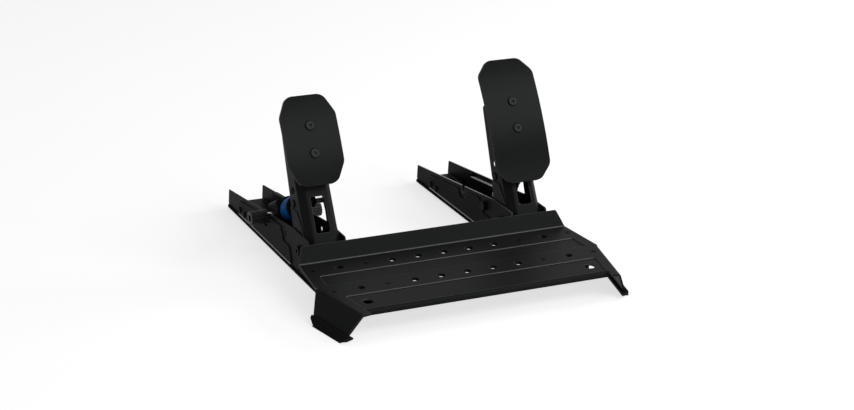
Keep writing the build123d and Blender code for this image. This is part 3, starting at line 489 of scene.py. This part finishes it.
RING_FROM, RING_TO = 22.5, 44.5      # faces of the rear and the front cup
rubber_spring = lathe("elastomer_ring", brake_line,
                      barrel(RING_FROM, RING_TO, inner=4.4, outer=14.3, crown=0.35, bevel=2.2), 96,
                      blue)
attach(rubber_spring, "load_cell_block")
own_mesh(rubber_spring)
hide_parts("elastomer")

ROD_FROM, ROD_TO = 21.0, 80.4
ROD_RADIUS = 4.0
ROD_CHAMFER = 0.8
COLLAR_FROM, COLLAR_TO = 72.0, 79.0
COLLAR_RADIUS = 5.4
COLLAR_SLOPE = 2.0
ROD_BORE = 0.4
EYE_HALF = 5.0
EYE_BORE = 3.05
EYE_RADIUS = 6.5
EYE_CHAMFER = 0.6

shaft = lathe("push_rod_shaft", brake_line, [
    (ROD_FROM, ROD_BORE), (ROD_FROM, ROD_RADIUS - ROD_CHAMFER), (ROD_FROM + ROD_CHAMFER, ROD_RADIUS),
    (COLLAR_FROM - COLLAR_SLOPE, ROD_RADIUS), (COLLAR_FROM, COLLAR_RADIUS), (COLLAR_TO, COLLAR_RADIUS),
    (ROD_TO, ROD_RADIUS), (ROD_TO, ROD_BORE),
], 48, black_steel)
eye = lathe("push_rod_eye", (PIN - X * MODULE_X, X, Y, Z), [
    (-EYE_HALF, EYE_BORE), (-EYE_HALF, EYE_RADIUS - EYE_CHAMFER), (-EYE_HALF + EYE_CHAMFER, EYE_RADIUS),
    (EYE_HALF - EYE_CHAMFER, EYE_RADIUS), (EYE_HALF, EYE_RADIUS - EYE_CHAMFER), (EYE_HALF, EYE_BORE),
], 48, black_steel)
for piece in (shaft, eye):
    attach(piece, "brake_rod")
    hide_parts("push_rod")

SPRING_FROM, SPRING_TO = 7.62, 35.69      # faces of the lower and the upper seat
spring = coil("return_spring", spring_line, SPRING_FROM, SPRING_TO, radius=12.0, wire=2.6, closed=0.75, active=3.5,
              material=spring_coat)
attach(spring, "spring_foot")
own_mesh(spring)
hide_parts("throttle_spring")

# Three screws and a toothed clip on the inner face of the throttle channel's right wall
CLEARANCE = 0.02 * MM
inner_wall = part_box("throttle_cover")[1].x - CLEARANCE
SCREW_PLACES = ((0.1425, 0.0263), (0.1551, 0.0139), (0.1416, 0.0140))      # Y and Z
SCREW_PROFILE = [(0.0, PINHOLE), (0.0, 2.1), (0.8, 2.1), (1.3, 1.6), (1.3, 1.0), (0.6, 0.9), (0.6, PINHOLE)]
for i, (y, z) in enumerate(SCREW_PLACES):
    head = lathe(f"wall_screw_{i + 1}", (Vector((inner_wall, y, z)), -X, Y, Z), SCREW_PROFILE, 36,
                 black_steel)
    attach(head, "base")

CLIP_SPINE, CLIP_ROOT, CLIP_TIP = 133.6, 135.6, 137.4      # Y of the clip's front edge and of its teeth
CLIP_LOW = 11.4
CLIP_THICK = 2.38
TEETH = 7
TOOTH, TOOTH_GAP = 1.6, 1.3

outline = [(CLIP_SPINE, CLIP_LOW)]
for i in range(TEETH):
    low = CLIP_LOW + (TOOTH + TOOTH_GAP) * i
    if i:
        outline += [(CLIP_ROOT, low - TOOTH_GAP), (CLIP_ROOT, low)]
    outline += [(CLIP_TIP, low), (CLIP_TIP, low + TOOTH)]
outline.append((CLIP_SPINE, low + TOOTH))
verts = [Vector((x, y * MM, z * MM)) for x in (inner_wall, inner_wall - CLIP_THICK * MM) for y, z in outline]
count = len(outline)
faces = [(i, (i + 1) % count, count + (i + 1) % count, count + i) for i in range(count)]
faces += [tuple(range(count)), tuple(range(2 * count - 1, count - 1, -1))]
clip = mesh_object("wall_clip", verts, faces, plastic, smooth=False)
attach(clip, "base")

# A push-in plug in the light hole of the brake arm's left flange
PLUG_PROFILE = [(-1.5, PINHOLE), (-1.5, 2.9), (0.03, 2.9), (0.03, 3.7), (0.5, 3.7), (0.9, 3.2), (0.9, PINHOLE)]
plug_place = arm_point(*LIGHT_HOLE)
plug_place.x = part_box("brake_arm")[0].x
plug = lathe("arm_plug", (plug_place, -X, Y, Z), PLUG_PROFILE, 40, plastic)
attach(plug, "brake_pedal")


# Studio

FLOOR_SHADE = 0.30
FLOOR_SHADE_UNSEEN = 0.80
FLOOR_GLOW = 0.70
FLOOR_HALF = 9
FLOOR_DROP = 0.0004       # the floor lies this much under the object
WORLD = 0.40
LAMPS = (                 # name, place, what it looks at, width, height, power
    ("top_box", (0.1, 0.2, 1.9), (0, 0, 0), 1.6, 1.2, 4.0),
    ("front_box", (0.80, -1.45, 1.48), (0, 0, 0.1), 1.8, 0.7, 31.0),
    ("front_low_box", (0.95, -1.85, 0.55), (0, 0, 0.1), 1.6, 0.5, 11.0),
    ("right_box", (2.1, 0.0, 1.0), (0, 0, 0.05), 1.0, 0.6, 26.0),
)


def seen_rays(tree):
    """One where the camera, a gloss or a glass looks at the backdrop, and zero for soft light."""
    path = tree.nodes.new("ShaderNodeLightPath")
    seen = path.outputs["Is Camera Ray"]
    for ray in ("Is Glossy Ray", "Is Transmission Ray"):
        seen = maths(tree, "MAXIMUM", seen, path.outputs[ray])
    return seen


def soft_box(name, place, look, width, height, power):
    data = bpy.data.lights.new(name, "AREA")
    data.shape = "RECTANGLE"
    data.size = width
    data.size_y = height
    data.energy = power
    lamp = bpy.data.objects.new(name, data)
    bpy.context.collection.objects.link(lamp)
    lamp.location = place
    lamp.rotation_euler = (Vector(look) - Vector(place)).to_track_quat("-Z", "Y").to_euler()


# Floor: pale, and glowing a little where it is looked at, so that it keeps only a soft shadow
floor_mesh = bpy.data.meshes.new("floor")
corners = [(x * FLOOR_HALF, y * FLOOR_HALF, 0) for x, y in ((-1, -1), (1, -1), (1, 1), (-1, 1))]
floor_mesh.from_pydata(corners, [], [(0, 1, 2, 3)])
floor = bpy.data.objects.new("floor", floor_mesh)
bpy.context.collection.objects.link(floor)
floor.location.z = -FLOOR_DROP
material, tree, shader = new_material("floor")
shader.inputs["Roughness"].default_value = 0.9
shader.inputs["Specular IOR Level"].default_value = 0.0
looked = seen_rays(tree)
tree.links.new(mixed(tree, looked, grey(FLOOR_SHADE_UNSEEN), grey(FLOOR_SHADE)), shader.inputs["Base Color"])
tree.links.new(ramp(tree, looked, 0.0, FLOOR_GLOW, 0.0, 1.0), shader.inputs["Emission Strength"])
shader.inputs["Emission Color"].default_value = grey(1)
floor_mesh.materials.append(material)

# World: white where it is looked at, and soft light on the object
world = bpy.data.worlds.new("studio")
bpy.context.scene.world = world
world.use_nodes = True
tree = world.node_tree
background = tree.nodes["Background"].inputs
tree.links.new(ramp(tree, seen_rays(tree), WORLD, 1.0, 0.0, 1.0), background["Strength"])
background["Color"].default_value = grey(1)

for lamp in LAMPS:
    soft_box(*lamp)
